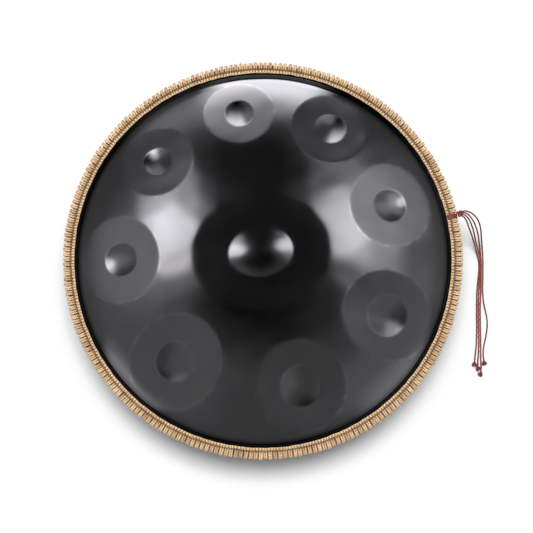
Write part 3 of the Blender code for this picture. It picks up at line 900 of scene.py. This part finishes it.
def window(tree, value, low, high, soft_low, soft_high):
    """One between low and high, falling softly to nought outside them."""
    rise = ramp_value(tree, value, low - soft_low, low)
    fall = ramp_value(tree, value, high, high + soft_high, 1.0, 0.0)
    return maths(tree, "MULTIPLY", rise, fall)


def make_studio():
    """White surroundings for the camera, grey ones for cloth, cord and paper, and for the steel a
    dark studio with softboxes, a long strip ahead and dim fill all round."""
    world = bpy.data.worlds.new("studio")
    bpy.context.scene.world = world
    world.use_nodes = True
    # Each kind of ray has its own surroundings, so the world is only met by rays that hit it.
    world.cycles.sampling_method = "NONE"
    tree = world.node_tree
    tree.nodes.clear()
    split = add_node(tree, "ShaderNodeSeparateXYZ")
    tree.links.new(add_node(tree, "ShaderNodeTexCoord").outputs["Generated"], split.inputs[0])
    x, y, z = split.outputs
    # Every direction by its angle from straight up and its bearing from +Y towards +X, and as
    # a point on a flat map on which that angle is the distance from the centre.
    to_degrees = 180 / math.pi
    squares = maths(tree, "ADD", maths(tree, "MULTIPLY", x, x), maths(tree, "MULTIPLY", y, y))
    level = maths(tree, "MAXIMUM", maths(tree, "SQRT", squares), 0.0001)
    fall = maths(tree, "MULTIPLY", maths(tree, "ARCCOSINE", z), to_degrees)
    bearing = maths(tree, "MULTIPLY", maths(tree, "ARCTAN2", x, y), to_degrees)
    toward_x = maths(tree, "DIVIDE", x, level)
    toward_y = maths(tree, "DIVIDE", y, level)
    map_x = maths(tree, "MULTIPLY", fall, toward_x)
    map_y = maths(tree, "MULTIPLY", fall, toward_y)

    def spot(centre, half_sizes, soft):
        """A soft-edged ellipse on the flat map."""
        across = maths(tree, "DIVIDE", maths(tree, "SUBTRACT", map_x, centre[0]), half_sizes[0])
        up = maths(tree, "DIVIDE", maths(tree, "SUBTRACT", map_y, centre[1]), half_sizes[1])
        reach = maths(tree, "ADD", maths(tree, "MULTIPLY", across, across),
                      maths(tree, "MULTIPLY", up, up))
        return ramp_value(tree, maths(tree, "SQRT", reach), 1 - soft, 1 + soft, 1.0, 0.0)

    def sector(low, high, soft_low, soft_high, fall_low, fall_high):
        """A range of bearings, growing in between two angles from straight up."""
        return maths(tree, "MULTIPLY", window(tree, bearing, low, high, soft_low, soft_high),
                     ramp_value(tree, fall, fall_low, fall_high))

    ended = ramp_value(tree, fall, 122.5, 125, 1.0, 0.0)
    strip = maths(tree, "MULTIPLY", sector(-10, 13, 9, 9, 61, 104), ended)
    shoulder = maths(tree, "MULTIPLY", sector(-34, -14, 12, 6, 62, 86),
                     ramp_value(tree, fall, 102, 116, 1.0, 0.2))
    low = ramp_value(tree, fall, 84, 108, 1.0, 0.3)
    flank = maths(tree, "MULTIPLY", sector(52, 92, 14, 14, 50, 60), low)
    side_right = maths(tree, "MULTIPLY", sector(96, 146, 14, 24, 50, 62), low)
    side_left = maths(tree, "MULTIPLY", sector(-146, -84, 24, 16, 26, 46), low)
    ahead = maths(tree, "MULTIPLY", maths(tree, "MAXIMUM", toward_y, 0.0), 28.0)
    fill = maths(tree, "MULTIPLY", ramp_value(tree, maths(tree, "SUBTRACT", fall, ahead), 18, 48),
                 maths(tree, "SUBTRACT", ramp_value(tree, fall, 112, 130, 1.0, 0.4),
                       maths(tree, "MULTIPLY", ahead, 0.0125)))
    terms = [(spot(centre, half_sizes, soft), strength)
             for centre, half_sizes, soft, strength in SOFTBOXES]
    terms += [(strip, 2.3), (shoulder, 0.28), (fill, 0.10), (flank, 0.10), (side_right, 0.09),
              (side_left, 0.07)]
    terms += [(sector(*patch[:-1]), patch[-1]) for patch in LOW_PATCHES]
    total = SKY_FLOOR
    for mask, strength in terms:
        total = maths(tree, "ADD", maths(tree, "MULTIPLY", mask, strength), total)

    def surroundings(colour, strength):
        node = add_node(tree, "ShaderNodeBackground")
        node.inputs["Color"].default_value = colour
        put(tree, node.inputs["Strength"], strength)
        return node.outputs[0]

    def choose(ray, otherwise, chosen):
        """One set of surroundings for one kind of ray, and the other for the rest."""
        node = add_node(tree, "ShaderNodeMixShader")
        for socket, value in zip(node.inputs, (rays.outputs[ray], otherwise, chosen)):
            tree.links.new(value, socket)
        return node.outputs[0]

    rays = add_node(tree, "ShaderNodeLightPath")
    lit = choose("Is Glossy Ray", surroundings(WHITE, 0.6), surroundings(SKY_TINT, total))
    seen = choose("Is Camera Ray", lit, surroundings(WHITE, 1.0))
    tree.links.new(seen, add_node(tree, "ShaderNodeOutputWorld").inputs[0])


def add_lamp(name, energy, spread, lean, bearing):
    """A broad distant lamp; it lights cloth, cord and paper and leaves the steel alone."""
    data = bpy.data.lights.new(name, "SUN")
    data.energy = energy
    data.angle = math.radians(spread)
    lamp = bpy.data.objects.new(name, data)
    bpy.context.scene.collection.objects.link(lamp)
    lean = math.radians(lean)
    bearing = math.radians(bearing)
    toward = Vector((math.sin(bearing) * math.sin(lean), math.cos(bearing) * math.sin(lean),
                     math.cos(lean)))
    lamp.rotation_mode = "QUATERNION"
    lamp.rotation_quaternion = (-toward).to_track_quat("-Z", "Y")
    lamp.visible_glossy = False


def make_floor():
    """A broad sheet of paper, a mid grey that the lamps light up to white."""
    mesh = bpy.data.meshes.new("floor")
    reach = 6.0
    corners = [(-reach, -reach, 0.0), (reach, -reach, 0.0), (reach, reach, 0.0), (-reach, reach, 0.0)]
    mesh.from_pydata(corners, [], [(0, 1, 2, 3)])
    material, tree, shader = new_material("floor_paper")
    speckle = noise(tree, object_coordinates(tree), 30.0)
    colour = mix_colour(tree, speckle, *PAPER)
    tree.links.new(colour, shader.inputs["Base Color"])
    shader.inputs["Roughness"].default_value = 1.0
    shader.inputs["Specular IOR Level"].default_value = 0.0
    mesh.materials.append(material)
    floor = bpy.data.objects.new("floor", mesh)
    bpy.context.scene.collection.objects.link(floor)
    floor.visible_glossy = False


def main():
    make_camera()
    make_tie(cord_material())
    make_top_shell(steel_material("nitrided_steel", TOP_STEEL, 0.21, worn=True))
    make_bottom_shell(steel_material("lower_steel", LOWER_STEEL, 0.30, worn=False))
    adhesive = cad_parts["rim_adhesive"]
    adhesive.data.materials.clear()
    adhesive.data.materials.append(adhesive_material())
    make_rim_wrap(jute_material("jute_stitches", *STITCH_JUTE))
    braid_jute = jute_material("jute_plait", *PLAIT_JUTE)
    make_edge_braid("top_edge_braid", 1, braid_jute)
    make_edge_braid("bottom_edge_braid", -1, braid_jute)
    make_floor()
    make_studio()
    for lamp in LAMPS:
        add_lamp(*lamp)
    bpy.context.scene.view_settings.view_transform = "Standard"


main()
